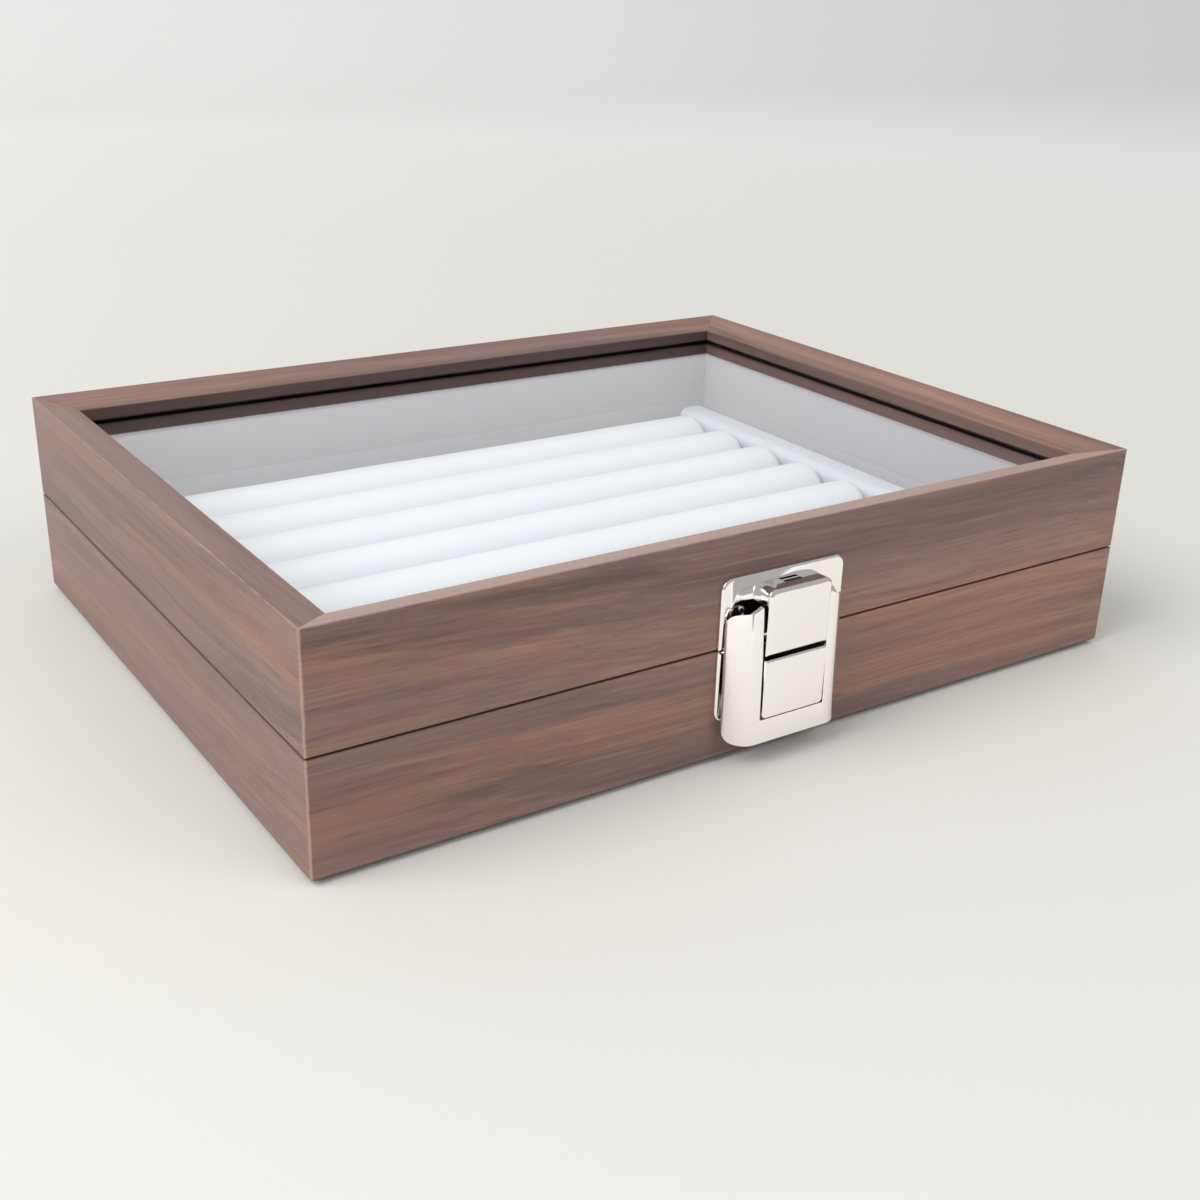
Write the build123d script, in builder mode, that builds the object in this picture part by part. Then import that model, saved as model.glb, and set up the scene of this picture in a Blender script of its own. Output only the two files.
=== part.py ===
from build123d import *
import os

os.makedirs("parts", exist_ok=True)

# Glass-topped ring display case. Origin: centre of the felt underside, +Z up, front at -Y.
# All lengths in millimetres.

# Case
case_w = 275.0
case_d = 211.0
base_h = 32.4
lid_h = 32.2
seam_gap = 0.4
frame_t = 11.7
liner_t = 1.5
corner_r = 0.6
edge_r = 0.5
foot_edge_r = 1.2

# Lid frame
top_fall = 3.2
glass_t = 2.0
glass_level = 22.2
groove_d = 3.0
groove_h = 2.8
pane_clear = 0.4
band_h = 4.0

# Floor
panel_t = 3.0
panel_seat = 4.0
panel_clear = 0.2
felt_t = 1.2
felt_inset = 15.0
board_t = 2.0

# Ring rolls and end strips
roll_count = 8
roll_gap = 0.35
roll_top = 29.8
roll_foot_r = 6.0
roll_end_in = 3.0
roll_end_run = 3.5
strip_w = 12.0
strip_r = 3.5
soft_clear = 0.3

# Hinges
hinge_inset = 52.5
hinge_len = 30.0
leaf_h = 14.0
leaf_t = 1.0
knuckle_r = 2.0
knuckle_stand = 2.2
knuckle_play = 0.2
hinge_pin_r = 1.1
run_clear = 0.05
hinge_screw_pitch = 18.0
hinge_screw_drop = 8.5

# Wood screws
shank_r = 1.1
head_r = 2.1
screw_len = 8.0
hole_clear = 0.05

# Clasp plates
plate_w = 42.0
plate_t = 1.2
plate_r = 3.3
plate_edge_r = 0.5
lid_plate_h = 20.0
base_plate_h = 21.0
plate_screw_x = 16.0
plate_screw_z = 5.0

# Catch on the lid and block on the base, both pressed from sheet
clasp_front = 8.5
sheet_t = 0.8
catch_w = 21.6
catch_h = 18.9
catch_overlap = 1.1
catch_r = 2.2
catch_edge_r = 0.8
catch_cheek = 4.6
slot_w = 6.0
slot_t = 1.1
slot_back = 0.6
block_w = 21.2
block_h = 17.2
block_r = 1.5
block_gap = 1.1
block_edge_r = 0.4
notch_w = 2.4
notch_h = 3.2

# Lever, measured from its pin: up the tilted lever and out from the case
lever_flat = 25.4
lever_roll_r = 7.5
lever_t = 1.2
lever_side = 5.6
lever_tilt = 1.8
lever_above = 23.6
lever_below = 14.5
lever_front = 4.05
lever_corner_r = 5.4
window_clear = 0.3
window_floor = 7.65
tip_rise = 1.6
tip_in = 0.6
tip_base = 3.6
flange_t = 1.0
flange_drop = 0.4
flange_in = 1.4
ear_r = 2.2
lever_pin_r = 0.9
pin_stand = 3.7
pin_up = 7.2
pin_head = 0.4
nose_h = 2.0
nose_back = 0.45
lug_w = 1.0
lug_h = 3.2
lug_stand = 1.8
lug_below_nose = 0.5

# Return spring on the lever's pin
wire_r = 0.35
coil_turns = 6
coil_pitch = 0.66
coil_r = 1.35
short_leg = 3.0
long_leg = 9.0
leg_foot = 11.2
leg_touch = 0.05

# Levels and insides that follow
wood_z = felt_t
rim_z = wood_z + base_h
lid_z = rim_z + seam_gap
axis_z = rim_z + seam_gap / 2
panel_top = wood_z + panel_t
board_top = panel_top + board_t
crest_z = wood_z + roll_top
glass_z = lid_z + glass_level
band_z = glass_z - band_h
wall_t = frame_t - liner_t
inside_w = case_w - 2 * frame_t
inside_d = case_d - 2 * frame_t
insert_w = inside_w - 2 * soft_clear
insert_d = inside_d - 2 * soft_clear

front_face = Plane(origin=(0, -case_d / 2, 0), x_dir=(1, 0, 0), z_dir=(0, -1, 0))
back_face = Plane(origin=(0, case_d / 2, 0), x_dir=(-1, 0, 0), z_dir=(0, 1, 0))
pressed = (Align.CENTER, Align.CENTER, Align.MAX)
standing = (Align.CENTER, Align.MIN)
hanging = (Align.CENTER, Align.MAX)

# Each side: the middle of its outer face, the way it runs, and its length
sides = {
    "front": (0, -case_d / 2, (1, 0, 0), case_w),
    "back": (0, case_d / 2, (-1, 0, 0), case_w),
    "left": (-case_w / 2, 0, (0, -1, 0), case_d),
    "right": (case_w / 2, 0, (0, 1, 0), case_d),
}


def section_plane(side, z):
    """Across a side: X inwards from its outer face, Y up, Z along it."""
    x, y, run, length = sides[side]
    return Plane(origin=(x, y, z), x_dir=Vector(0, 0, 1).cross(Vector(run)), z_dir=run)


def plan_plane(side, z):
    """A side seen from above: X along it, Y inwards from its outer face."""
    x, y, run, length = sides[side]
    return Plane(origin=(x, y, z), x_dir=run, z_dir=(0, 0, 1))


def mitred_plan(side, z, outer, inner):
    """Plan of a side between two distances from its outer face, mitred at both ends."""
    half = sides[side][3] / 2
    with BuildSketch(plan_plane(side, z)) as plan:
        Polygon(
            (-half + outer, outer),
            (half - outer, outer),
            (half - inner, inner),
            (-half + inner, inner),
            align=None,
        )
    return plan.sketch


def cut_mitres(side, z, height):
    """Trim the part being built to its side's mitres and to the case's rounded corners."""
    with BuildSketch(Plane.XY.offset(z)) as footprint:
        RectangleRounded(case_w, case_d, corner_r)
    extrude(mitred_plan(side, z, 0, frame_t), amount=height, mode=Mode.INTERSECT)
    extrude(footprint.sketch, amount=height, mode=Mode.INTERSECT)


def countersinks(face, points, depth):
    """Screw holes with conical mouths through a plate whose outer face is given."""
    with Locations(face):
        with Locations(*points):
            Cone(shank_r + hole_clear, head_r + hole_clear, depth, align=pressed, mode=Mode.SUBTRACT)


def wood_screws(name, face, points, head_h):
    """A group of countersunk screws, flush with the face they are driven through."""
    with BuildPart() as screws:
        with Locations(face):
            with Locations(*points):
                Cone(shank_r, head_r, head_h, align=pressed)
                Cylinder(shank_r, screw_len, align=pressed)
    finish(screws, name)


def finish(builder, name):
    builder.part.label = name
    export_step(builder.part, "parts/" + name + ".step")


hinge_x = case_w / 2 - hinge_inset
hinge_centres = {"left": hinge_x, "right": -hinge_x}
base_hinge_holes = [
    (x + s * hinge_screw_pitch / 2, axis_z - hinge_screw_drop)
    for x in hinge_centres.values()
    for s in (-1, 1)
]
lid_hinge_holes = [(x, 2 * axis_z - z) for x, z in base_hinge_holes]
base_plate_holes = [(s * plate_screw_x, rim_z - plate_screw_z) for s in (-1, 1)]
lid_plate_holes = [(s * plate_screw_x, lid_z + plate_screw_z) for s in (-1, 1)]

# Base walls, rebated at the foot for the floor panel
for side in sides:
    with BuildPart() as wall:
        with BuildSketch(section_plane(side, wood_z)) as outline:
            with BuildLine():
                Polyline(
                    (0, 0),
                    (0, base_h),
                    (wall_t, base_h),
                    (wall_t, panel_t),
                    (wall_t - panel_seat, panel_t),
                    (wall_t - panel_seat, 0),
                    close=True,
                )
            make_face()
            outer_corners = outline.vertices().group_by(Axis.X)[0].sort_by(Axis.Y)
            fillet(outer_corners[0], foot_edge_r)
            outer_corners = outline.vertices().group_by(Axis.X)[0].sort_by(Axis.Y)
            fillet(outer_corners[-1], edge_r)
        extrude(amount=sides[side][3] / 2, both=True)
        cut_mitres(side, wood_z, base_h)
    finish(wall, "base_" + side + "_wall")

# Lid rails: top falls inwards, a groove holds the pane, a rebate takes the liner
for side in sides:
    with BuildPart() as rail:
        with BuildSketch(section_plane(side, lid_z)) as outline:
            with BuildLine():
                Polyline(
                    (0, 0),
                    (0, lid_h),
                    (frame_t, lid_h - top_fall),
                    (frame_t, glass_level + groove_h),
                    (frame_t - groove_d, glass_level + groove_h),
                    (frame_t - groove_d, glass_level),
                    (frame_t, glass_level),
                    (frame_t, glass_level - band_h),
                    (wall_t, glass_level - band_h),
                    (wall_t, 0),
                    close=True,
                )
            make_face()
            top_corners = outline.vertices().sort_by(Axis.Y)[-2:]
            fillet(top_corners, edge_r)
            outer_corners = outline.vertices().group_by(Axis.X)[0].sort_by(Axis.Y)
            fillet(outer_corners[0], edge_r)
        extrude(amount=sides[side][3] / 2, both=True)
        cut_mitres(side, lid_z, lid_h)
    finish(rail, "lid_" + side + "_rail")

# Velvet-covered liner boards, flush with the frame's inner face
for side in sides:
    with BuildPart() as liner:
        extrude(mitred_plan(side, panel_top, wall_t, frame_t), amount=rim_z - panel_top)
    finish(liner, "base_liner_" + side)
    with BuildPart() as liner:
        extrude(mitred_plan(side, lid_z, wall_t, frame_t), amount=band_z - lid_z)
    finish(liner, "lid_liner_" + side)

# Pane, floor panel, felt and the board that carries the rolls
pane_w = inside_w + 2 * (groove_d - pane_clear)
pane_d = inside_d + 2 * (groove_d - pane_clear)
with BuildPart() as pane:
    with BuildSketch(Plane.XY.offset(glass_z)):
        Rectangle(pane_w, pane_d)
    extrude(amount=glass_t)
finish(pane, "glass_pane")

panel_w = case_w - 2 * (wall_t - panel_seat + panel_clear)
panel_d = case_d - 2 * (wall_t - panel_seat + panel_clear)
with BuildPart() as panel:
    with BuildSketch(Plane.XY.offset(wood_z)):
        Rectangle(panel_w, panel_d)
    extrude(amount=panel_t)
finish(panel, "base_panel")

with BuildPart() as felt:
    with BuildSketch():
        Rectangle(case_w - 2 * felt_inset, case_d - 2 * felt_inset)
    extrude(amount=felt_t)
finish(felt, "base_felt")

with BuildPart() as board:
    with BuildSketch(Plane.XY.offset(panel_top)):
        Rectangle(insert_w, insert_d)
    extrude(amount=board_t)
finish(board, "insert_board")

# Ring rolls: foam bolsters with a round crown, a flat foot and drawn-in ends
roll_pitch = insert_d / roll_count
roll_r = (roll_pitch - roll_gap) / 2
roll_half = insert_w / 2 - strip_w - soft_clear


def roll_section(x, y, inset):
    """Outline of a roll drawn in all round, except at its foot."""
    with BuildSketch(Plane.YZ.offset(x)) as outline:
        with Locations((y, crest_z - roll_r)):
            Circle(roll_r - inset)
            Rectangle(2 * (roll_r - inset), crest_z - roll_r - board_top, align=hanging)
        with Locations((y, board_top)):
            Rectangle(2 * roll_r, roll_top, align=standing, mode=Mode.INTERSECT)
        fillet(outline.vertices().group_by(Axis.Y)[0], roll_foot_r - inset)
    return outline.sketch


for number in range(roll_count):
    roll_y = -insert_d / 2 + roll_pitch * (number + 0.5)
    with BuildPart() as roll:
        ends = [(roll_half, roll_end_in), (roll_half - roll_end_run, 0)]
        stations = [(-x, inset) for x, inset in ends] + ends[::-1]
        loft([roll_section(x, roll_y, inset) for x, inset in stations], ruled=True)
    finish(roll, "roll_" + str(number + 1))

# End strips that close the rolls' ends
for name, sign in (("left", -1), ("right", 1)):
    strip_x = sign * (insert_w - strip_w) / 2
    with BuildPart() as strip:
        with BuildSketch(Plane.XZ) as outline:
            with Locations((strip_x, board_top)):
                Rectangle(strip_w, crest_z - board_top, align=standing)
            fillet(outline.vertices().group_by(Axis.Y)[-1], strip_r)
        extrude(amount=insert_d / 2, both=True)
    finish(strip, "end_strip_" + name)

# Butt hinges on the back: three knuckles, the middle one on the lid
third = hinge_len / 3
middle_knuckle = (-third / 2, third / 2)
outer_knuckles = (
    (-hinge_len / 2, -third / 2 - knuckle_play),
    (third / 2 + knuckle_play, hinge_len / 2),
)
leaf_specs = {
    "base": (-1, outer_knuckles, (middle_knuckle,), base_hinge_holes),
    "lid": (1, (middle_knuckle,), outer_knuckles, lid_hinge_holes),
}
leaf_face = back_face.offset(leaf_t)
for name, x in hinge_centres.items():
    for owner, (up, own, other, holes) in leaf_specs.items():
        with BuildPart() as leaf:
            with BuildSketch(back_face) as outline:
                with Locations((x, axis_z + up * (seam_gap + leaf_h) / 2)):
                    Rectangle(hinge_len, leaf_h)
                for start, end in other:
                    with Locations((x + (start + end) / 2, axis_z)):
                        Rectangle(
                            end - start + 2 * knuckle_play,
                            2 * (knuckle_r + knuckle_play),
                            mode=Mode.SUBTRACT,
                        )
            extrude(amount=leaf_t)
            for start, end in own:
                knuckle_plane = Plane(
                    origin=(-x - end, case_d / 2 + knuckle_stand, axis_z), z_dir=(1, 0, 0)
                )
                with BuildSketch(knuckle_plane):
                    Circle(knuckle_r)
                extrude(amount=end - start)
            bore_plane = Plane(
                origin=(-x, case_d / 2 + knuckle_stand, axis_z), z_dir=(1, 0, 0)
            )
            with BuildSketch(bore_plane):
                Circle(hinge_pin_r + run_clear)
            extrude(amount=hinge_len, both=True, mode=Mode.SUBTRACT)
            near = [p for p in holes if abs(p[0] - x) < hinge_len]
            countersinks(leaf_face, near, leaf_t)
        finish(leaf, "hinge_" + name + "_" + owner + "_leaf")
    with BuildPart() as hinge_pin:
        with BuildSketch(bore_plane):
            Circle(hinge_pin_r)
        extrude(amount=hinge_len / 2 + pin_head, both=True)
    finish(hinge_pin, "hinge_" + name + "_pin")
wood_screws("hinge_screws_base", leaf_face, base_hinge_holes, leaf_t)
wood_screws("hinge_screws_lid", leaf_face, lid_hinge_holes, leaf_t)

# Lever plane: on the pin, tilted so the lever's foot stands further out
block_top = lid_z - seam_gap / 2 - catch_overlap - block_gap
block_foot = block_top - block_h
pin_z = block_foot + pin_up
tilt = Vector(0, -1, 0).rotate(Axis.X, -lever_tilt)
lever_plane = Plane(
    origin=(0, -case_d / 2 - pin_stand, pin_z), x_dir=(1, 0, 0), z_dir=tilt
)
window_half = catch_w / 2 + window_clear
flange_mid = window_half + flange_t / 2
flange_top = lever_above - flange_drop
nose_z = lever_plane.from_local_coords(Vector(0, flange_top - nose_h, 0)).Z

# Clasp plates: the lid's carries two lugs that the lever's noses stand over
plate_face = front_face.offset(plate_t)
with BuildPart() as lid_plate:
    with BuildSketch(front_face) as outline:
        with Locations((0, lid_z)):
            Rectangle(plate_w, lid_plate_h, align=standing)
        fillet(outline.vertices().group_by(Axis.Y)[-1], plate_r)
    extrude(amount=plate_t)
    chamfer(lid_plate.faces().sort_by(Axis.Y)[0].edges(), plate_edge_r)
    with BuildSketch(front_face):
        for s in (-1, 1):
            with Locations((s * flange_mid, nose_z - lug_below_nose)):
                Rectangle(lug_w, lug_h, align=hanging)
    extrude(amount=plate_t + lug_stand)
    countersinks(plate_face, lid_plate_holes, plate_t)
finish(lid_plate, "latch_lid_plate")

with BuildPart() as base_plate:
    with BuildSketch(front_face) as outline:
        with Locations((0, rim_z)):
            Rectangle(plate_w, base_plate_h, align=hanging)
        fillet(outline.vertices().group_by(Axis.Y)[0], plate_r)
    extrude(amount=plate_t)
    chamfer(base_plate.faces().sort_by(Axis.Y)[0].edges(), plate_edge_r)
    countersinks(plate_face, base_plate_holes, plate_t)
finish(base_plate, "latch_base_plate")
wood_screws("latch_screws_lid", plate_face, lid_plate_holes, plate_t)
wood_screws("latch_screws_base", plate_face, base_plate_holes, plate_t)

# Catch: a pressed cover with rounded shoulders, short cheeks and a slotted top
catch_foot = axis_z - catch_overlap
catch_top = catch_foot + catch_h
with BuildPart() as catch:
    with BuildSketch(plate_face) as outline:
        with Locations((0, catch_foot)):
            Rectangle(catch_w, catch_h, align=standing)
        fillet(outline.vertices().group_by(Axis.Y)[-1], catch_r)
    extrude(amount=clasp_front - plate_t)
    chamfer(catch.faces().sort_by(Axis.Y)[0].edges(), catch_edge_r)
    with BuildSketch(plate_face) as hollow:
        with Locations((0, catch_foot)):
            Rectangle(catch_w - 2 * sheet_t, catch_h - sheet_t, align=standing)
        fillet(hollow.vertices().group_by(Axis.Y)[-1], catch_r - sheet_t)
    extrude(amount=clasp_front - plate_t - sheet_t, mode=Mode.SUBTRACT)
    with BuildSketch(plate_face):
        with Locations((0, catch_foot)):
            Rectangle(2 * catch_w, catch_h - catch_cheek, align=standing)
    extrude(amount=clasp_front - plate_t - sheet_t, mode=Mode.SUBTRACT)
    with BuildSketch(Plane.XY.offset(catch_top)):
        with Locations((0, -case_d / 2 - plate_t - slot_back - slot_t / 2)):
            Rectangle(slot_w, slot_t)
    extrude(amount=-2 * sheet_t, mode=Mode.SUBTRACT)
finish(catch, "catch_block")

# Pivot block: a pressed cover, notched at the foot for the spring's long leg
with BuildPart() as block:
    with BuildSketch(plate_face) as outline:
        with Locations((0, block_foot)):
            Rectangle(block_w, block_h, align=standing)
        fillet(outline.vertices().group_by(Axis.Y)[0], block_r)
    extrude(amount=clasp_front - plate_t)
    chamfer(block.faces().sort_by(Axis.Y)[0].edges(), block_edge_r)
    with BuildSketch(plate_face):
        with Locations((0, block_foot + sheet_t)):
            Rectangle(block_w - 2 * sheet_t, block_h - 2 * sheet_t, align=standing)
    extrude(amount=clasp_front - plate_t - sheet_t, mode=Mode.SUBTRACT)
    with BuildSketch(plate_face):
        with Locations((coil_pitch * coil_turns / 2 - 2 * wire_r, block_foot)):
            Rectangle(notch_w, notch_h)
    extrude(amount=clasp_front - plate_t - sheet_t, mode=Mode.SUBTRACT)
    with BuildSketch(Plane.YZ):
        with Locations((-case_d / 2 - pin_stand, pin_z)):
            Circle(lever_pin_r + run_clear)
    extrude(amount=block_w, both=True, mode=Mode.SUBTRACT)
finish(block, "pivot_block")

with BuildPart() as lever_pin:
    with BuildSketch(Plane.YZ):
        with Locations((-case_d / 2 - pin_stand, pin_z)):
            Circle(lever_pin_r)
    extrude(amount=window_half + flange_t + pin_head, both=True)
finish(lever_pin, "lever_pin")

# Lever: a U pressed from one sheet, its window's edges folded in as flanges
lever_h = lever_above + lever_below
across = Plane(
    origin=lever_plane.from_local_coords(Vector(0, -lever_below, lever_front)),
    x_dir=(1, 0, 0),
    z_dir=lever_plane.y_dir,
)
along = Plane(origin=lever_plane.origin, x_dir=lever_plane.y_dir, z_dir=(1, 0, 0))
sheet_back = lever_front - lever_t
flange_back = sheet_back - flange_in


def rolled_sheet(plane, width):
    """Section of the lever's sheet: flat in the middle, rolled back at both sides."""
    with BuildSketch(plane) as section:
        with Locations((0, lever_roll_r)):
            SlotCenterToCenter(lever_flat, 2 * lever_roll_r)
            SlotCenterToCenter(lever_flat, 2 * (lever_roll_r - lever_t), mode=Mode.SUBTRACT)
        Rectangle(width, lever_side, align=standing, mode=Mode.INTERSECT)
    return section.sketch


with BuildPart() as lever:
    extrude(rolled_sheet(across, plate_w), amount=lever_h)
    with BuildSketch(along) as profile:
        with Locations(((lever_above - lever_below) / 2, lever_front)):
            Rectangle(lever_h, lever_side, align=hanging)
        fillet(profile.vertices().group_by(Axis.Y)[0], lever_corner_r)
    extrude(amount=plate_w, both=True, mode=Mode.INTERSECT)
    tips = rolled_sheet(across.offset(lever_h - tip_rise), 2 * (window_half + tip_base))
    extrude(tips, amount=2 * tip_rise)
    with BuildSketch(lever_plane.offset(lever_front)):
        with Locations((0, -window_floor)):
            Rectangle(2 * window_half, lever_h, align=standing)
    extrude(amount=-2 * lever_side, mode=Mode.SUBTRACT)
    for s in (-1, 1):
        with BuildSketch(lever_plane.offset(lever_front)):
            with BuildLine():
                Polyline(
                    (0, flange_top),
                    (s * window_half, flange_top),
                    (s * (window_half + tip_in), lever_above + tip_rise),
                    (s * (window_half + tip_base), lever_above),
                    (s * plate_w, lever_above),
                    (s * plate_w, lever_above + 2 * tip_rise),
                    (0, lever_above + 2 * tip_rise),
                    close=True,
                )
            make_face()
        extrude(amount=-lever_side, mode=Mode.SUBTRACT)
        with BuildSketch(along.offset(s * window_half)):
            with Locations(((flange_top - window_floor) / 2, sheet_back)):
                Rectangle(flange_top + window_floor, flange_in, align=hanging)
            with Locations((flange_top, sheet_back)):
                Rectangle(nose_h, sheet_back - nose_back, align=(Align.MAX, Align.MAX))
            Rectangle(2 * ear_r, sheet_back, align=standing)
            Circle(ear_r)
            Circle(lever_pin_r + run_clear, mode=Mode.SUBTRACT)
        extrude(amount=s * flange_t)
finish(lever, "lever")

# Spring: close coils on the pin, a long leg to the lever's foot and a short one behind
coil_len = coil_pitch * coil_turns
leg_x = coil_len / 2 - 2 * wire_r
pin_axis = Axis(lever_plane.origin, (1, 0, 0))
coil_plane = Plane(origin=lever_plane.origin, x_dir=(1, 0, 0), z_dir=(0, -1, 0))
with BuildPart() as spring:
    with BuildSketch(coil_plane):
        with Locations((0, coil_r)):
            Rectangle(coil_len, 2 * wire_r)
    revolve(axis=pin_axis)
    with BuildLine(along.offset(leg_x)) as route:
        FilletPolyline(
            (0, coil_r),
            (-long_leg, coil_r),
            (-leg_foot, sheet_back - wire_r - leg_touch),
            radius=2 * wire_r,
        )
    with BuildSketch(Plane(origin=route.line @ 0, z_dir=route.line % 0)):
        Circle(wire_r)
    sweep(path=route.line)
    with BuildSketch(Plane(origin=along.offset(-leg_x).from_local_coords((0, -coil_r)), z_dir=along.x_dir)):
        Circle(wire_r)
    extrude(amount=-short_leg)
finish(spring, "lever_spring")
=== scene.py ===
import math

import bmesh
import bpy
from mathutils import Matrix, Vector, noise


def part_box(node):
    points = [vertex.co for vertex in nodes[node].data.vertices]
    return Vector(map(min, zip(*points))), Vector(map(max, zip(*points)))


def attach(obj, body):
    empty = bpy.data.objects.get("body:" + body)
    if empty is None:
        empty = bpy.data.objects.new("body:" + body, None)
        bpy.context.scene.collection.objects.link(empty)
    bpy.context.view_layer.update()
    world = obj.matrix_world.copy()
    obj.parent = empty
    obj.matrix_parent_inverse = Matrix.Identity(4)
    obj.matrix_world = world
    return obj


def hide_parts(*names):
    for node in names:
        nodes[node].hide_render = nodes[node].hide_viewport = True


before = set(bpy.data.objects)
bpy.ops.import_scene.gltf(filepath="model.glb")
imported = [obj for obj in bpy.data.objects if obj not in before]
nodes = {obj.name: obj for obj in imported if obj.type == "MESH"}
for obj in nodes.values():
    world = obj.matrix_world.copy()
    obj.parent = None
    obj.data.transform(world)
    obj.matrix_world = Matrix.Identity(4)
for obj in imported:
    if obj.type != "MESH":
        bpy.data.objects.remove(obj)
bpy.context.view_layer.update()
MM = 0.001

# Camera: stands at the photograph's place, left of the clasp and above the lid.
# Its turn, tilt and roll were solved from the corners of the case.
camera_place = Vector((-253.3, -390.9, 202.0)) * MM
camera_turn = 0.6051
camera_tilt = 0.4037
camera_roll = 0.0333
forward = Vector((
    math.cos(camera_tilt) * math.sin(camera_turn),
    math.cos(camera_tilt) * math.cos(camera_turn),
    -math.sin(camera_tilt),
))
level_right = forward.cross(Vector((0, 0, 1))).normalized()
level_up = level_right.cross(forward)
right = level_right * math.cos(camera_roll) + level_up * math.sin(camera_roll)
up = level_up * math.cos(camera_roll) - level_right * math.sin(camera_roll)
camera_axes = Matrix((right, up, -forward)).transposed().to_4x4()
camera = bpy.data.objects.new("camera", bpy.data.cameras.new("camera"))
camera.matrix_world = Matrix.Translation(camera_place) @ camera_axes
camera.data.sensor_width = 36
camera.data.lens = 45.86
camera.data.shift_x = -0.00753
camera.data.shift_y = 0.00633
camera.data.clip_start = 0.01
bpy.context.scene.collection.objects.link(camera)
bpy.context.scene.camera = camera
bpy.context.scene.view_settings.view_transform = "Standard"


# Studio: a pale floor that sweeps up into a wall, with two soft round lamps over it.
# The stronger lamp hangs to the left, as the light falls on the case in the photograph.
def colour(red, green, blue):
    """A linear colour from the three 0 to 255 values of a display colour."""
    parts = [c / 255 for c in (red, green, blue)]
    return tuple(c / 12.92 if c <= 0.04045 else ((c + 0.055) / 1.055) ** 2.4 for c in parts) + (1,)


def new_material(name, **sockets):
    """A Principled material, its tree and its shader; a socket's name has _ for a space."""
    material = bpy.data.materials.new(name)
    material.use_nodes = True
    tree = material.node_tree
    shader = tree.nodes["Principled BSDF"]
    for key, value in sockets.items():
        shader.inputs[key.replace("_", " ")].default_value = value
    return material, tree, shader


def new_piece(name, mesh_source, material, body, smooth_under):
    """An object at the origin from a bmesh, shaded smooth where faces meet under an angle."""
    mesh = bpy.data.meshes.new(name)
    mesh_source.to_mesh(mesh)
    mesh_source.free()
    mesh.materials.append(material)
    mesh.polygons.foreach_set("use_smooth", [True] * len(mesh.polygons))
    mesh.set_sharp_from_angle(angle=math.radians(smooth_under))
    piece = bpy.data.objects.new(name, mesh)
    bpy.context.scene.collection.objects.link(piece)
    if body:
        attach(piece, body)
    return piece


case_middle = Vector((0, 0, 0.03))


def lamp(name, place, size, watts, tint):
    """A round soft lamp that points at the middle of the case."""
    light = bpy.data.lights.new(name, "AREA")
    light.shape = "DISK"
    light.size = size
    light.energy = watts
    light.color = tint
    holder = bpy.data.objects.new(name, light)
    holder.location = place
    holder.rotation_mode = "QUATERNION"
    holder.rotation_quaternion = (case_middle - Vector(place)).to_track_quat("-Z", "Y")
    bpy.context.scene.collection.objects.link(holder)
    return holder


def wire(tree, source, target):
    tree.links.new(source, target)


def node(tree, kind, **settings):
    made_node = tree.nodes.new(kind)
    for key, value in settings.items():
        setattr(made_node, key, value)
    return made_node


def maths(tree, operation, first, second=None, third=None, clamp=False):
    """The result of a Math node; each operand is a number or a socket."""
    made_node = node(tree, "ShaderNodeMath", operation=operation, use_clamp=clamp)
    for socket, value in zip(made_node.inputs, (first, second, third)):
        if value is None:
            continue
        if isinstance(value, (int, float)):
            socket.default_value = value
        else:
            wire(tree, value, socket)
    return made_node.outputs[0]


def fade(tree, value, gone, full):
    """A share of 0 where the value is at or past gone, growing to 1 at full and past it."""
    slope = 1 / (full - gone)
    return maths(tree, "MULTIPLY_ADD", value, slope, -gone * slope, clamp=True)


def mix_colour(tree, share, first, second):
    """The first colour, turned into the second by a share."""
    made_node = node(tree, "ShaderNodeMix", data_type="RGBA")
    share_in, first_in, second_in = (made_node.inputs[number] for number in (0, 6, 7))
    for socket, value in ((share_in, share), (first_in, first), (second_in, second)):
        if isinstance(value, (int, float, tuple)):
            socket.default_value = value
        else:
            wire(tree, value, socket)
    return made_node.outputs[2]


floor_reach = 2.2
sweep_radius = 0.5
sweep_steps = 16
wall_height = 2.4
sweep = bmesh.new()
edge_verts = [sweep.verts.new((x, -floor_reach, 0)) for x in (-2 * floor_reach, 2 * floor_reach)]
edge = sweep.edges.new(edge_verts)
made = bmesh.ops.extrude_edge_only(sweep, edges=[edge])["geom"]
moved = [v for v in made if isinstance(v, bmesh.types.BMVert)]
bmesh.ops.translate(sweep, verts=moved, vec=(0, 2 * floor_reach - sweep_radius, 0))
back_line = [e for e in made if isinstance(e, bmesh.types.BMEdge)]
turned = bmesh.ops.spin(
    sweep, geom=back_line, cent=(0, floor_reach - sweep_radius, sweep_radius), axis=(1, 0, 0),
    angle=math.pi / 2, steps=sweep_steps, use_duplicate=False,
)["geom_last"]
top_line = [e for e in turned if isinstance(e, bmesh.types.BMEdge)]
made = bmesh.ops.extrude_edge_only(sweep, edges=top_line)["geom"]
moved = [v for v in made if isinstance(v, bmesh.types.BMVert)]
bmesh.ops.translate(sweep, verts=moved, vec=(0, 0, wall_height))

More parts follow.
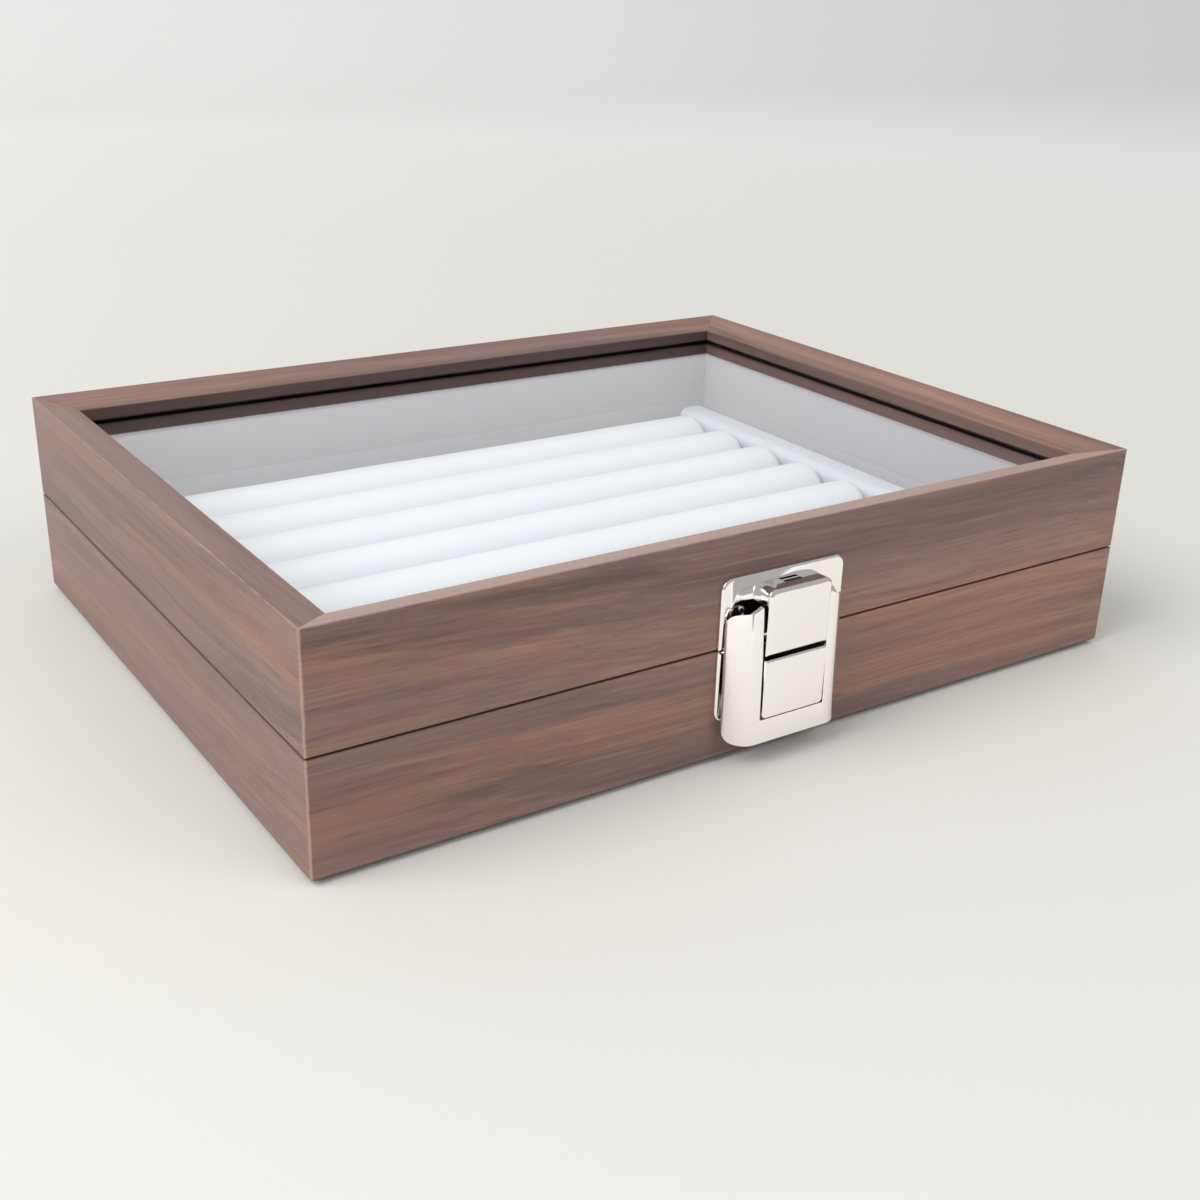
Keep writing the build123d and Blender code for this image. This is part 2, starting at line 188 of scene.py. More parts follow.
# The paint turns paler away from the case and glows a little there; mirrors see it brighter
floor_paint = colour(219, 217, 212)
far_paint = colour(244, 244, 241)
far_glow = 0.05
floor_in_mirrors = 0.07
paint_turns_from, paint_turned_at = 0.35, 1.45
studio_paint, tree, shader = new_material("studio_paint", Roughness=0.85)
from_case = node(tree, "ShaderNodeVectorMath", operation="LENGTH")
wire(tree, node(tree, "ShaderNodeTexCoord").outputs["Object"], from_case.inputs[0])
far = fade(tree, from_case.outputs["Value"], paint_turns_from, paint_turned_at)
wire(tree, mix_colour(tree, far, floor_paint, far_paint), shader.inputs["Base Color"])
paths = node(tree, "ShaderNodeLightPath")
in_mirror = paths.outputs["Is Glossy Ray"]
through_glass = paths.outputs["Is Transmission Ray"]
indirect = maths(tree, "MAXIMUM", in_mirror, through_glass)
seen = maths(tree, "MAXIMUM", paths.outputs["Is Camera Ray"], indirect)
glow = maths(tree, "MULTIPLY", maths(tree, "MULTIPLY", seen, far_glow), far)
lifted = maths(tree, "MULTIPLY_ADD", in_mirror, floor_in_mirrors, glow)
shader.inputs["Emission Color"].default_value = far_paint
wire(tree, lifted, shader.inputs["Emission Strength"])
floor = new_piece("floor", sweep, studio_paint, None, smooth_under=40)

lamp("key_lamp", (-1.45, -0.05, 1.5), size=1.7, watts=33.5, tint=(1.0, 0.995, 0.98))
fill_lamp = lamp("fill_lamp", (0.7, -1.6, 1.4), size=1.8, watts=13.5, tint=(1.0, 0.995, 0.985))
fill_lamp.visible_glossy = False

# Mirrors see a dimmer room in front of the case than the light it gives
room_light = 0.55
room_in_mirrors = 0.42
world = bpy.data.worlds.new("studio")
world.use_nodes = True
bpy.context.scene.world = world
room = world.node_tree
room.nodes["Background"].inputs["Color"].default_value = (0.97, 0.98, 1.0, 1)
in_mirror = node(room, "ShaderNodeLightPath").outputs["Is Glossy Ray"]
room_strength = maths(room, "MULTIPLY_ADD", in_mirror, room_in_mirrors - room_light, room_light)
wire(room, room_strength, room.nodes["Background"].inputs["Strength"])


# Walnut boards: base walls and lid rails, sawn from one veneered carcass and mitred.
# The grain runs along each board and carries on across the seam; worn edges show a paler core.
def group_of(name, inputs, outputs):
    """An empty shader group that is fed with a place, its inputs and its outputs."""
    tree = bpy.data.node_groups.new(name, "ShaderNodeTree")
    for socket, kind, value in [("Vector", "Vector", (0, 0, 0))] + inputs:
        item = tree.interface.new_socket(socket, in_out="INPUT", socket_type="NodeSocket" + kind)
        item.default_value = value
    for socket, kind in outputs:
        tree.interface.new_socket(socket, in_out="OUTPUT", socket_type="NodeSocket" + kind)
    return tree, node(tree, "NodeGroupInput").outputs, node(tree, "NodeGroupOutput").inputs


def use_group(tree, group, place, **sockets):
    """The outputs of a group's node, fed with a place and with constant values."""
    made_node = node(tree, "ShaderNodeGroup", node_tree=group)
    wire(tree, place, made_node.inputs["Vector"])
    for key, value in sockets.items():
        made_node.inputs[key.replace("_", " ")].default_value = value
    return made_node.outputs


def parts_of(tree, vector):
    """The X, Y and Z of a vector."""
    made_node = node(tree, "ShaderNodeSeparateXYZ")
    wire(tree, vector, made_node.inputs[0])
    return made_node.outputs


def ramp(tree, share, stops):
    """A colour ramp through (position, colour) stops."""
    made_node = node(tree, "ShaderNodeValToRGB")
    elements = made_node.color_ramp.elements
    while len(elements) < len(stops):
        elements.new(0.5)
    for element, (position, tint) in zip(elements, stops):
        element.position = position
        element.color = tint
    wire(tree, share, made_node.inputs["Fac"])
    return made_node.outputs["Color"]


def noise_of(tree, vector, fineness, detail, rough=0.5, distortion=0.0):
    """Soft noise from 0 to 1 with so many waves to the metre along each axis."""
    spread = node(tree, "ShaderNodeVectorMath", operation="MULTIPLY")
    wire(tree, vector, spread.inputs[0])
    spread.inputs[1].default_value = fineness
    made_node = node(tree, "ShaderNodeTexNoise")
    made_node.inputs["Scale"].default_value = 1.0
    made_node.inputs["Detail"].default_value = detail
    made_node.inputs["Roughness"].default_value = rough
    made_node.inputs["Distortion"].default_value = distortion
    wire(tree, spread.outputs[0], made_node.inputs["Vector"])
    return made_node.outputs["Fac"]


def tinted(tree, tone, mask, share, tint):
    """The tone, turned into the tint by up to a share where the mask is 1."""
    return mix_colour(tree, maths(tree, "MULTIPLY", mask, share), tone, tint)


def relief(tree, shader, height, strength, depth):
    """Gives a shader's surface a fine bump."""
    bump = node(tree, "ShaderNodeBump")
    bump.inputs["Strength"].default_value = strength
    bump.inputs["Distance"].default_value = depth
    wire(tree, height, bump.inputs["Height"])
    wire(tree, bump.outputs["Normal"], shader.inputs["Normal"])


def dress(node_name, material):
    nodes[node_name].data.materials.clear()
    nodes[node_name].data.materials.append(material)


# X runs along the board; the figure leans a little and bends slowly, as in rotary-cut sheets
grain, grain_in, grain_out = group_of(
    "veneer_grain", [("Lean", "Float", 0.0)],
    [("Color", "Color"), ("Roughness", "Float"), ("Height", "Float")],
)
bend_depth = 0.013
along_board = parts_of(grain, grain_in["Vector"])["X"]
lean = maths(grain, "MULTIPLY", along_board, grain_in["Lean"])
bend = noise_of(grain, grain_in["Vector"], (6, 12, 12), detail=2)
sway = maths(grain, "MULTIPLY_ADD", bend, bend_depth, lean)
sideways = node(grain, "ShaderNodeCombineXYZ")
wire(grain, sway, sideways.inputs["Y"])
wire(grain, sway, sideways.inputs["Z"])
bent_place = node(grain, "ShaderNodeVectorMath", operation="ADD")
wire(grain, grain_in["Vector"], bent_place.inputs[0])
wire(grain, sideways.outputs[0], bent_place.inputs[1])
bent = bent_place.outputs[0]

bands = noise_of(grain, bent, (1.6, 52, 52), detail=3, rough=0.55)
streaks = noise_of(grain, bent, (5, 230, 230), detail=4, rough=0.6, distortion=0.3)
comb = noise_of(grain, bent, (26, 1150, 1150), detail=3, rough=0.6)
pores = noise_of(grain, bent, (75, 2300, 2300), detail=2)
hue_drift = noise_of(grain, bent, (3, 70, 70), detail=2)
figure = maths(grain, "MULTIPLY_ADD", streaks, 0.5, maths(grain, "MULTIPLY", bands, 0.5))
tone = ramp(grain, figure, [
    (0.37, colour(97, 74, 70)),
    (0.44, colour(117, 89, 81)),
    (0.50, colour(131, 99, 88)),
    (0.56, colour(142, 107, 92)),
    (0.64, colour(158, 122, 104)),
])
drifted = fade(grain, hue_drift, gone=0.4333, full=0.6)
tone = tinted(grain, tone, drifted, share=0.45, tint=colour(128, 104, 103))
comb_dark = fade(grain, comb, gone=0.51, full=0.31)
tone = tinted(grain, tone, comb_dark, share=0.30, tint=colour(88, 67, 62))
comb_light = fade(grain, comb, gone=0.5583, full=0.725)
tone = tinted(grain, tone, comb_light, share=0.22, tint=colour(182, 148, 124))
in_pore = fade(grain, pores, gone=0.37, full=0.27)
tone = tinted(grain, tone, in_pore, share=0.45, tint=colour(76, 57, 54))
comb_rough, least_rough = 0.14, 0.38
pore_height = -0.5
wire(grain, tone, grain_out["Color"])
wire(grain, maths(grain, "MULTIPLY_ADD", comb, comb_rough, least_rough), grain_out["Roughness"])
wire(grain, maths(grain, "MULTIPLY_ADD", in_pore, pore_height, comb), grain_out["Height"])

# Masks for the places of a board: worn edges, painted shade on its inside and at the seam, painted
# shadow in the groove and along the foot, and painted light on its sloping top
wear, wear_in, wear_out = group_of(
    "board_places",
    [
        ("Half Width", "Float", 0.1), ("Half Depth", "Float", 0.1), ("Top", "Float", 0.07),
        ("Seam", "Float", 0.03), ("Foot", "Float", 0.0), ("Inside", "Float", 0.01),
        ("Groove", "Float", 0.05), ("Reach", "Float", 0.001),
    ],
    [("Edge", "Float"), ("Shade", "Float"), ("Painted Shadow", "Float"), ("Painted Top Light", "Float")],
)
spot = parts_of(wear, wear_in["Vector"])
level = spot["Z"]
from_side = maths(wear, "SUBTRACT", wear_in["Half Width"], maths(wear, "ABSOLUTE", spot["X"]))
from_front = maths(wear, "SUBTRACT", wear_in["Half Depth"], maths(wear, "ABSOLUTE", spot["Y"]))
from_outside = maths(wear, "MINIMUM", from_side, from_front)
from_corner = maths(wear, "MAXIMUM", from_side, from_front)
from_top = maths(wear, "SUBTRACT", wear_in["Top"], level)
past_inside = maths(wear, "SUBTRACT", from_outside, wear_in["Inside"])

rim_pull, rim_gap = 0.8, 0.4 * MM
ragged_gain, ragged_least = 1.2, 0.4
to_rim = maths(wear, "MAXIMUM", from_outside, from_top)
from_rim = maths(wear, "MULTIPLY_ADD", to_rim, rim_pull, rim_gap)
nearest = maths(wear, "MINIMUM", from_corner, from_rim)
ragged = noise_of(wear, wear_in["Vector"], (240, 240, 240), detail=3)
ragged = maths(wear, "MULTIPLY_ADD", ragged, ragged_gain, ragged_least)
reach = maths(wear, "MULTIPLY", wear_in["Reach"], ragged)
worn = fade(wear, maths(wear, "DIVIDE", nearest, reach), gone=1.0, full=0.375)
wire(wear, worn, wear_out["Edge"])

# Painted shade: the inner faces and the gap at the seam between lid and base are darkened where
# shade falls
joint_depth = 0.8 * MM
inside_shade_mask = fade(wear, past_inside, gone=-0.333 * MM, full=0)
from_seam = maths(wear, "ABSOLUTE", maths(wear, "SUBTRACT", level, wear_in["Seam"]))
by_seam = fade(wear, from_seam, gone=0.533 * MM, full=0.2 * MM)
joint = maths(wear, "MULTIPLY", by_seam, maths(wear, "LESS_THAN", from_outside, joint_depth))
wire(wear, maths(wear, "MAXIMUM", inside_shade_mask, joint), wear_out["Shade"])

# Painted shadow: the groove's recess above the glass and a line along the foot turn near black
# where shadow falls
foot_shadow_share = 0.85
from_groove = maths(wear, "ABSOLUTE", maths(wear, "SUBTRACT", level, wear_in["Groove"]))
by_groove = fade(wear, from_groove, gone=1.75 * MM, full=1.583 * MM)
groove_deep = fade(wear, past_inside, gone=-3.333 * MM, full=-3 * MM)
groove_shadow = maths(wear, "MULTIPLY", by_groove, groove_deep)
from_foot = maths(wear, "SUBTRACT", level, wear_in["Foot"])
by_foot = fade(wear, from_foot, gone=0.864 * MM, full=0.409 * MM)
foot_shadow = maths(wear, "MULTIPLY", by_foot, foot_shadow_share)
wire(wear, maths(wear, "MAXIMUM", groove_shadow, foot_shadow), wear_out["Painted Shadow"])

# Painted light: a band along the top face turns paler where light falls on it
brow_height = 4 * MM
top_not_side = maths(wear, "SUBTRACT", from_outside, from_top)
on_top = fade(wear, top_not_side, gone=-0.333 * MM, full=0.333 * MM)
lit_top_mask = maths(wear, "MULTIPLY", on_top, maths(wear, "LESS_THAN", from_top, brow_height))
wire(wear, lit_top_mask, wear_out["Painted Top Light"])

case_low, case_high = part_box("base_front_wall")[0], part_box("lid_back_rail")[1]
seam_level = (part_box("base_front_wall")[1].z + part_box("lid_front_rail")[0].z) / 2
case_measures = {
    "Half_Width": case_high.x, "Half_Depth": case_high.y, "Top": case_high.z,
    "Seam": seam_level, "Foot": case_low.z,
    "Inside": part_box("lid_front_rail")[1].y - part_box("lid_front_rail")[0].y,
    "Groove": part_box("glass_pane")[1].z - 0.5 * MM, "Reach": 0.6 * MM,
}
# Colours for the masks: painted shade inside, painted light on top, painted shadow in gaps, and
# the veneer's own pale core at worn edges
inside_shade_share, painted_inside_shade = 0.8, colour(64, 49, 47)
painted_top_light, painted_gap_shadow = colour(177, 150, 139), colour(24, 21, 21)
worn_share, core_tone = 0.5, colour(200, 170, 152)
grain_strength, grain_depth = 0.25, 0.12 * MM
# Turn of the grain, place in the veneer sheet, lean, and how much painted light brightens the top
# face
sides = {
    "front": (0, 0.13, 0.03, 0.72), "back": (0, 3.37, 0.02, 0),
    "left": (90, 5.71, -0.03, 0), "right": (90, 8.23, 0.02, 0),
}
for side, (turn, shift, slant, top_light_share) in sides.items():
    walnut, tree, shader = new_material("walnut_" + side, Specular_IOR_Level=0.45)
    place = node(tree, "ShaderNodeTexCoord").outputs["Object"]
    sheet_place = node(tree, "ShaderNodeMapping")
    sheet_place.inputs["Rotation"].default_value = (0, 0, math.radians(turn))
    sheet_place.inputs["Location"].default_value = (shift, shift, shift)
    wire(tree, place, sheet_place.inputs["Vector"])
    veneer = use_group(tree, grain, sheet_place.outputs["Vector"], Lean=slant)
    places = use_group(tree, wear, place, **case_measures)
    # Painted light on the top, painted shade inside and at the seam, painted shadow in the gaps,
    # then the worn edges
    tone = tinted(tree, veneer["Color"], places["Painted Top Light"], top_light_share, painted_top_light)
    tone = tinted(tree, tone, places["Shade"], inside_shade_share, painted_inside_shade)
    tone = mix_colour(tree, places["Painted Shadow"], tone, painted_gap_shadow)
    tone = tinted(tree, tone, places["Edge"], worn_share, core_tone)
    wire(tree, tone, shader.inputs["Base Color"])
    wire(tree, veneer["Roughness"], shader.inputs["Roughness"])
    relief(tree, shader, veneer["Height"], grain_strength, grain_depth)
    dress("base_" + side + "_wall", walnut)
    dress("lid_" + side + "_rail", walnut)


# Floor panel, insert board and felt: plain hidden boards and the sheet the case stands on.
# The panel is brown fibreboard, the board grey card, the felt a dark needled sheet.
speckle, speckle_in, speckle_out = group_of(
    "fibre_speckle",
    [("Color", "Color", (0.5, 0.5, 0.5, 1)), ("Scale", "Float", 400.0), ("Amount", "Float", 0.2)],
    [("Color", "Color"), ("Height", "Float")],
)
flecks = node(speckle, "ShaderNodeTexNoise")
flecks.inputs["Detail"].default_value = 5
flecks.inputs["Roughness"].default_value = 0.65
wire(speckle, speckle_in["Vector"], flecks.inputs["Vector"])
wire(speckle, speckle_in["Scale"], flecks.inputs["Scale"])
off_mean = maths(speckle, "SUBTRACT", flecks.outputs["Fac"], 0.5)
gain = maths(speckle, "ADD", maths(speckle, "MULTIPLY", off_mean, speckle_in["Amount"]), 1.0)
toned = node(speckle, "ShaderNodeVectorMath", operation="SCALE")
wire(speckle, speckle_in["Color"], toned.inputs[0])
wire(speckle, gain, toned.inputs["Scale"])
wire(speckle, toned.outputs[0], speckle_out["Color"])
wire(speckle, flecks.outputs["Fac"], speckle_out["Height"])
fibre_strength = 0.5


def fibre_material(name, tint, fineness, amount, depth, **sockets):
    """A matt material whose colour and surface vary as pressed or woven fibre does."""
    material, tree, shader = new_material(name, **sockets)
    place = node(tree, "ShaderNodeTexCoord").outputs["Object"]
    flecked = use_group(tree, speckle, place, Color=tint, Scale=fineness, Amount=amount)
    wire(tree, flecked["Color"], shader.inputs["Base Color"])
    relief(tree, shader, flecked["Height"], fibre_strength, depth)
    return material


# Name, colour, fineness, unevenness, depth of the fibres and roughness
hidden_sheets = {
    "base_panel": ("fibreboard", colour(150, 118, 92), 900, 0.35, 0.1 * MM, 0.75),
    "insert_board": ("grey_card", colour(205, 203, 199), 700, 0.12, 0.05 * MM, 0.9),
    "base_felt": ("dark_felt", colour(52, 48, 47), 1500, 0.8, 0.3 * MM, 1.0),
}
for sheet, (name, tint, fineness, amount, depth, rough) in hidden_sheets.items():
    dress(sheet, fibre_material(name, tint, fineness, amount, depth, Roughness=rough))


# Liner boards: card wrapped in short white velvet, flush with the frame's inner face.
# The pile softens their edges and all but closes the joint between the lid's and the base's.
def part_copy(node_name):
    """A closed copy of a CAD part's mesh, its flat faces whole again."""
    mesh = bmesh.new()
    mesh.from_mesh(nodes[node_name].data)
    flat_within = math.radians(1)
    bmesh.ops.remove_doubles(mesh, verts=mesh.verts, dist=0.001 * MM)
    bmesh.ops.dissolve_limit(mesh, angle_limit=flat_within, verts=mesh.verts, edges=mesh.edges)
    return mesh


def rounded(mesh, edges, radius, steps):
    bmesh.ops.bevel(
        mesh, geom=edges, offset=radius, offset_type="OFFSET", affect="EDGES",
        segments=steps, profile=0.5, material=-1, clamp_overlap=True,
    )


def middle_of(edge):
    return (edge.verts[0].co + edge.verts[1].co) / 2


def rolled_edges(mesh, radius, steps, but_at=None, but_within=0):
    """Rolls over every edge at which two faces meet sharply, apart from those near a place."""
    sharp_over = math.radians(35)
    sharp = []
    for edge in mesh.edges:
        spared = but_at is not None and (middle_of(edge) - but_at).length < but_within
        if len(edge.link_faces) == 2 and edge.calc_face_angle() > sharp_over and not spared:
            sharp.append(edge)
    rounded(mesh, sharp, radius, steps)


liner_edge_r = 0.12 * MM
liner_edge_steps = 3
pile_reach = 0.17 * MM
joint_zone = 1 * MM
# The white velvet's colour is greyed as painted shade, as the inside walls lie in shade; the right
# board a touch darker as more painted shade
liner_tone_with_shade, right_liner_tone_with_shade = colour(164, 160, 170), colour(162, 158, 167)
for side in sides:
    liner_velvet = fibre_material(
        "liner_velvet_" + side, right_liner_tone_with_shade if side == "right" else liner_tone_with_shade,
        fineness=2600, amount=0.10, depth=0.12 * MM,
        Roughness=0.95, Sheen_Weight=0.35, Sheen_Roughness=0.5,
    )
    for body, reach in (("base", pile_reach), ("lid", -pile_reach)):
        node_name = body + "_liner_" + side
        board = part_copy(node_name)
        rolled_edges(board, liner_edge_r, liner_edge_steps)
        for vert in board.verts:
            if abs(vert.co.z - seam_level) < joint_zone:
                vert.co.z += reach
        name = "velvet_" + node_name
        velvet_board = new_piece(name, board, liner_velvet, body, smooth_under=40)
        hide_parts(node_name)


# Ring rolls: foam bolsters in white velvet, glued side by side on the insert board.
# Each is a long block rounded over its crown, tucked at its foot and drawn in at its ends.
hair = 0.01 * MM
crown_steps, foot_steps, end_steps = 10, 4, 5
swell_waves, swell_inwards, swell_depth = 40, 0.5, 0.22 * MM
glued_height = 1 * MM


def pad_velvet(name, tint, shade, shade_from, shade_to):
    """White velvet with painted shade that deepens between two levels, as in the valley between
    two pads.
    """
    velvet = fibre_material(
        name, tint, fineness=2400, amount=0.10, depth=0.2 * MM,
        Roughness=0.95, Sheen_Weight=0.5, Sheen_Roughness=0.45,
    )
    tree = velvet.node_tree
    base_colour = tree.nodes["Principled BSDF"].inputs["Base Color"]
    level = parts_of(tree, node(tree, "ShaderNodeTexCoord").outputs["Object"])["Z"]
    valley_shade = fade(tree, level, gone=shade_from, full=shade_to)
    wire(tree, mix_colour(tree, valley_shade, base_colour.links[0].from_socket, shade), base_colour)
    return velvet


def block_of(low, high):
    """A closed box between two corners."""
    mesh = bmesh.new()
    size = Matrix.Diagonal((high - low).to_4d())
    size[3][3] = 1
    bmesh.ops.create_cube(mesh, size=1, matrix=Matrix.Translation((low + high) / 2) @ size)
    return mesh


def long_edges(mesh, axis, level):
    """Edges at a level that run along an axis."""
    chosen = []
    for edge in mesh.edges:
        run = (edge.verts[0].co - edge.verts[1].co).normalized()
        if abs(run[axis]) > 0.99 and abs(middle_of(edge).z - level) < hair:
            chosen.append(edge)
    return chosen


def end_edges(mesh, axis, low, high):
    """The outline edges of both end faces square to an axis."""
    chosen = []
    for edge in mesh.edges:
        along = [v.co[axis] for v in edge.verts]
        if max(along) < low + hair or min(along) > high - hair:
            chosen.append(edge)
    return chosen


def velvet_pad(name, node_name, axis, crown_r, foot_r, end_r, cuts, seed, material):
    """A velvet pad in its CAD solid's place: rounded, cut along its length and swelled."""
    low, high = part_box(node_name)
    mesh = block_of(low, high)
    rounded(mesh, long_edges(mesh, axis, high.z), crown_r, crown_steps)
    rounded(mesh, long_edges(mesh, axis, low.z), foot_r, foot_steps)
    rounded(mesh, end_edges(mesh, axis, low[axis], high[axis]), end_r, end_steps)
    half_length = (high - low)[axis] / 2
    lines = []
    for edge in mesh.edges:
        if abs(edge.verts[0].co[axis] - edge.verts[1].co[axis]) > half_length:
            lines.append(edge)
    bmesh.ops.subdivide_edges(mesh, edges=lines, cuts=cuts, use_grid_fill=True)
    middle = (low + high) / 2
    for vert in mesh.verts:
        outwards = vert.co - middle
        outwards[axis] = 0
        lift = noise.noise(vert.co * swell_waves + Vector((seed, 0, seed)))
        if vert.co.z > low.z + glued_height:
            vert.co += outwards.normalized() * (lift - swell_inwards) * swell_depth
    bmesh.ops.recalc_face_normals(mesh, faces=mesh.faces)
    pad = new_piece(name, mesh, material, "base", smooth_under=60)
    smooth = pad.modifiers.new("smooth", "SUBSURF")
    smooth.levels = smooth.render_levels = 1
    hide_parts(node_name)


roll_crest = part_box("roll_1")[1].z
roll_velvet = pad_velvet(
    "roll_velvet", tint=colour(236, 239, 244), shade=colour(213, 219, 228),
    shade_from=roll_crest - 1.0 * MM, shade_to=roll_crest - 5.5 * MM,
)
roll_count = len([name for name in nodes if name.startswith("roll_")])
roll_roundness = 0.98
for number in range(1, roll_count + 1):
    node_name = "roll_%d" % number
    low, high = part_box(node_name)
    velvet_pad(
        "velvet_" + node_name, node_name, axis=0, crown_r=(high.y - low.y) / 2 * roll_roundness,
        foot_r=5.5 * MM, end_r=4.5 * MM, cuts=36, seed=7.3 * number,
        material=roll_velvet,
    )


# End strips: velvet-wrapped bars that close the rolls' ends, flat on top with soft shoulders.
# They run the whole inside depth, glued down, and stand as high as the rolls.
# The strips' velvet is painted darker low down, as painted shade where the rolls' ends meet them
strip_velvet = pad_velvet(
    "strip_velvet", tint=colour(213, 217, 226), shade=colour(160, 165, 181),
    shade_from=roll_crest - 2.2 * MM, shade_to=roll_crest - 6.2 * MM,
)
for side, seed in (("left", 3.1), ("right", 9.7)):
    velvet_pad(
        "velvet_strip_" + side, "end_strip_" + side, axis=1, crown_r=3.4 * MM,
        foot_r=0.6 * MM, end_r=1.2 * MM, cuts=30, seed=seed, material=strip_velvet,
    )


# Glass pane: clear float glass, 2 mm, loose in the rails' groove.
# Light passes it unhindered, so the velvet under it is lit as the frame is.
glass_tint = (0.993, 0.999, 0.997, 1)
glass, tree, shader = new_material(
    "float_glass", Base_Color=glass_tint, Roughness=0.0, IOR=1.5, Transmission_Weight=1.0,
)
paths = node(tree, "ShaderNodeLightPath")
clear = node(tree, "ShaderNodeBsdfTransparent")
clear.inputs["Color"].default_value = glass_tint
lighting = maths(tree, "MAXIMUM", paths.outputs["Is Shadow Ray"], paths.outputs["Is Diffuse Ray"])
blended = node(tree, "ShaderNodeMixShader")
wire(tree, lighting, blended.inputs["Fac"])
wire(tree, shader.outputs["BSDF"], blended.inputs[1])
wire(tree, clear.outputs["BSDF"], blended.inputs[2])
wire(tree, blended.outputs["Shader"], tree.nodes["Material Output"].inputs["Surface"])
dress("glass_pane", glass)


# Steel parts: pressed hinge leaves held by their screws, drawn pins and a coiled return spring.
# Nickel plate is bright and a little cloudy; the spring wire is darker drawn steel.
cloud, cloud_in, cloud_out = group_of(
    "plated_cloud", [("Roughness", "Float", 0.15), ("Spread", "Float", 0.08)],
    [("Roughness", "Float"), ("Height", "Float")],
)
smudge = noise_of(cloud, cloud_in["Vector"], (70, 70, 70), detail=5, rough=0.6)
rough = maths(cloud, "MULTIPLY_ADD", smudge, cloud_in["Spread"], cloud_in["Roughness"])
dents = noise_of(cloud, cloud_in["Vector"], (260, 260, 260), detail=2)
wire(cloud, rough, cloud_out["Roughness"])
wire(cloud, dents, cloud_out["Height"])
plate_strength = 0.3


def plated_material(name, tint, rough, spread, depth):
    """Metal with a cloudy gloss and a faint unevenness from pressing."""
    material, tree, shader = new_material(name, Base_Color=tint, Metallic=1.0)
    place = node(tree, "ShaderNodeTexCoord").outputs["Object"]
    clouded = use_group(tree, cloud, place, Roughness=rough, Spread=spread)
    wire(tree, clouded["Roughness"], shader.inputs["Roughness"])
    relief(tree, shader, clouded["Height"], plate_strength, depth)
    return material


hinge_plate = plated_material(
    "hinge_nickel", colour(214, 208, 200), rough=0.16, spread=0.12, depth=0.02 * MM,
)
drawn_steel = plated_material(
    "drawn_steel", colour(150, 150, 150), rough=0.3, spread=0.15, depth=0.01 * MM,
)
screw_plate = plated_material(
    "screw_nickel", colour(200, 196, 190), rough=0.2, spread=0.1, depth=0.01 * MM,
)
for name in nodes:
    if name.startswith("hinge_") and name.endswith(("_leaf", "_pin")):
        dress(name, hinge_plate)
    if "_screws" in name:
        dress(name, screw_plate)
dress("lever_spring", drawn_steel)
dress("lever_pin", drawn_steel)


# Clasp: two plates, a catch, a pivot block and a U-shaped lever, pressed from nickelled sheet.
# Plating leaves cut edges slightly rolled; inside the pressings, in the slot and on a band of
# plate round the catch the metal is painted dark and rougher as painted shade.
shade_box, shade_box_in, shade_box_out = group_of(
    "painted_shade_box",
    [("Centre", "Vector", (0, 0, 0)), ("Half Size", "Vector", (0.01, 0.01, 0.01))],
    [("Mask", "Float")],
)
from_centre = node(shade_box, "ShaderNodeVectorMath", operation="SUBTRACT")
wire(shade_box, shade_box_in["Vector"], from_centre.inputs[0])
wire(shade_box, shade_box_in["Centre"], from_centre.inputs[1])
either_way = node(shade_box, "ShaderNodeVectorMath", operation="ABSOLUTE")
wire(shade_box, from_centre.outputs[0], either_way.inputs[0])
past_wall = node(shade_box, "ShaderNodeVectorMath", operation="SUBTRACT")
wire(shade_box, either_way.outputs[0], past_wall.inputs[0])
wire(shade_box, shade_box_in["Half Size"], past_wall.inputs[1])
past = parts_of(shade_box, past_wall.outputs[0])
past_most = maths(shade_box, "MAXIMUM", past["X"], maths(shade_box, "MAXIMUM", past["Y"], past["Z"]))
wire(shade_box, fade(shade_box, past_most, gone=0, full=-0.167 * MM), shade_box_out["Mask"])

catch_low, catch_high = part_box("catch_block")
block_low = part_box("pivot_block")[0]
plate_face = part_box("latch_lid_plate")[0].y
skin = 0.5 * MM
plate_margin = 0.8 * MM
bright_above = 8 * MM
slot_place = Vector((0, plate_face - 1.15 * MM, catch_high.z))
slot_half = Vector((3.1, 0.67, 1.0)) * MM
# Painted shade: boxes for the inside of the catch and block, the slot, and a band of plate round
# the catch, where shade falls
painted_shade_places = {
    "inside": (
        Vector((catch_low.x + skin, catch_low.y + skin, block_low.z + skin)),
        Vector((catch_high.x - skin, plate_face + skin, catch_high.z - skin)),
    ),
    "slot": (slot_place - slot_half, slot_place + slot_half),
    "round_the_catch": (
        Vector((catch_low.x - plate_margin, plate_face - skin, block_low.z)),
        Vector((catch_high.x + plate_margin, plate_face + skin, catch_high.z - bright_above)),
    ),
}
bright_nickel = colour(254, 251, 248)
painted_shade_tone = colour(44, 40, 39)
shade_roughness = 0.35
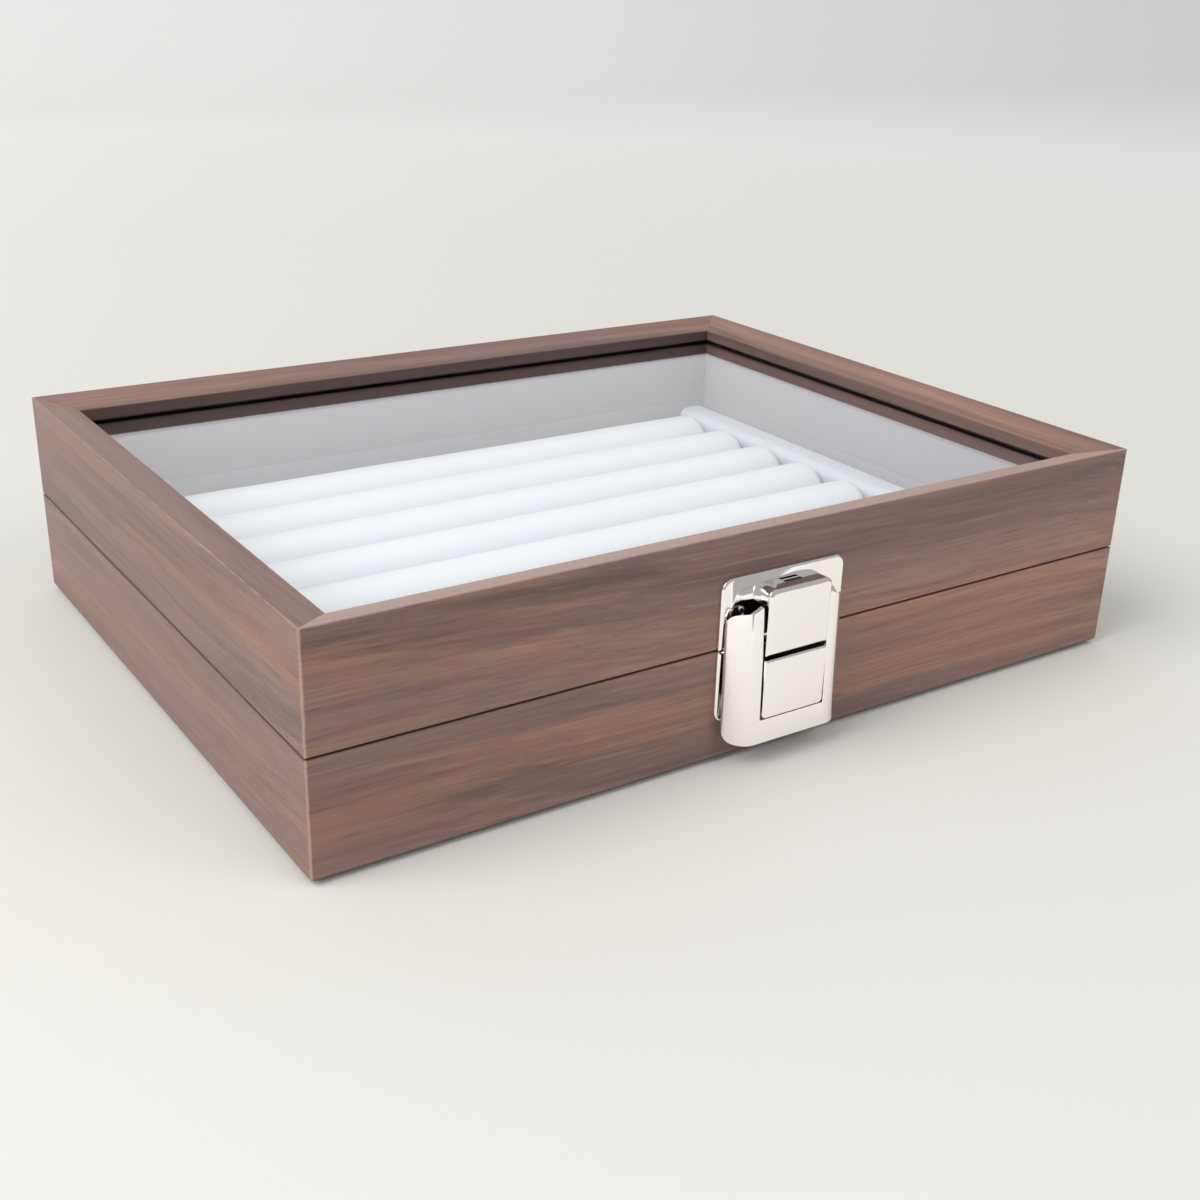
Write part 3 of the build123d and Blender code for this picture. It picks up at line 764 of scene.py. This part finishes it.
clasp_nickel, tree, shader = new_material("clasp_nickel", Metallic=1.0)
place = node(tree, "ShaderNodeTexCoord").outputs["Object"]
clouded = use_group(tree, cloud, place, Roughness=0.05, Spread=0.09)
shade_mask = 0.0
for low, high in painted_shade_places.values():
    shade_place = use_group(
        tree, shade_box, place, Centre=(low + high) / 2, Half_Size=(high - low) / 2,
    )
    shade_mask = maths(tree, "MAXIMUM", shade_mask, shade_place["Mask"])
rough = maths(tree, "MULTIPLY_ADD", shade_mask, shade_roughness, clouded["Roughness"])
wire(tree, mix_colour(tree, shade_mask, bright_nickel, painted_shade_tone), shader.inputs["Base Color"])
wire(tree, rough, shader.inputs["Roughness"])
relief(tree, shader, clouded["Height"], plate_strength, 0.02 * MM)

# The outer skin of the lever's sides rolls back on a long curve, never square to the case
pressed_edge_r = 0.22 * MM
pressed_edge_steps = 3
slot_edges_within = 4.5 * MM
lever_flat_half = 12.7 * MM
lever_roll_r = 7.5 * MM
lever_roll_depth = 5.6 * MM
lever_roll_run = math.sqrt(lever_roll_r ** 2 - (lever_roll_r - lever_roll_depth) ** 2)
lever_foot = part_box("lever")[0]
lever_tilt = 1.8
lever_lean = math.tan(math.radians(lever_tilt))
lever_sheet_half = 0.6 * MM
clasp_bodies = {
    "latch_lid_plate": "lid", "catch_block": "lid",
    "latch_base_plate": "base", "pivot_block": "base", "lever": "lever",
}
for name, body in clasp_bodies.items():
    pressed = part_copy(name)
    if name == "lever":
        for vert in pressed.verts:
            out = min(abs(vert.co.x) - lever_flat_half, lever_roll_run)
            if out <= 0:
                continue
            round_depth = lever_roll_r - math.sqrt(lever_roll_r ** 2 - out ** 2)
            leant = lever_lean * (vert.co.z - lever_foot.z)
            if vert.co.y - lever_foot.y - leant - round_depth < lever_sheet_half:
                vert.co.y += lever_roll_depth * (out / lever_roll_run) ** 2 - round_depth
    rolled_edges(pressed, pressed_edge_r, pressed_edge_steps, slot_place, slot_edges_within)
    nickel_piece = new_piece("nickel_" + name, pressed, clasp_nickel, body, smooth_under=35)
    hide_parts(name)
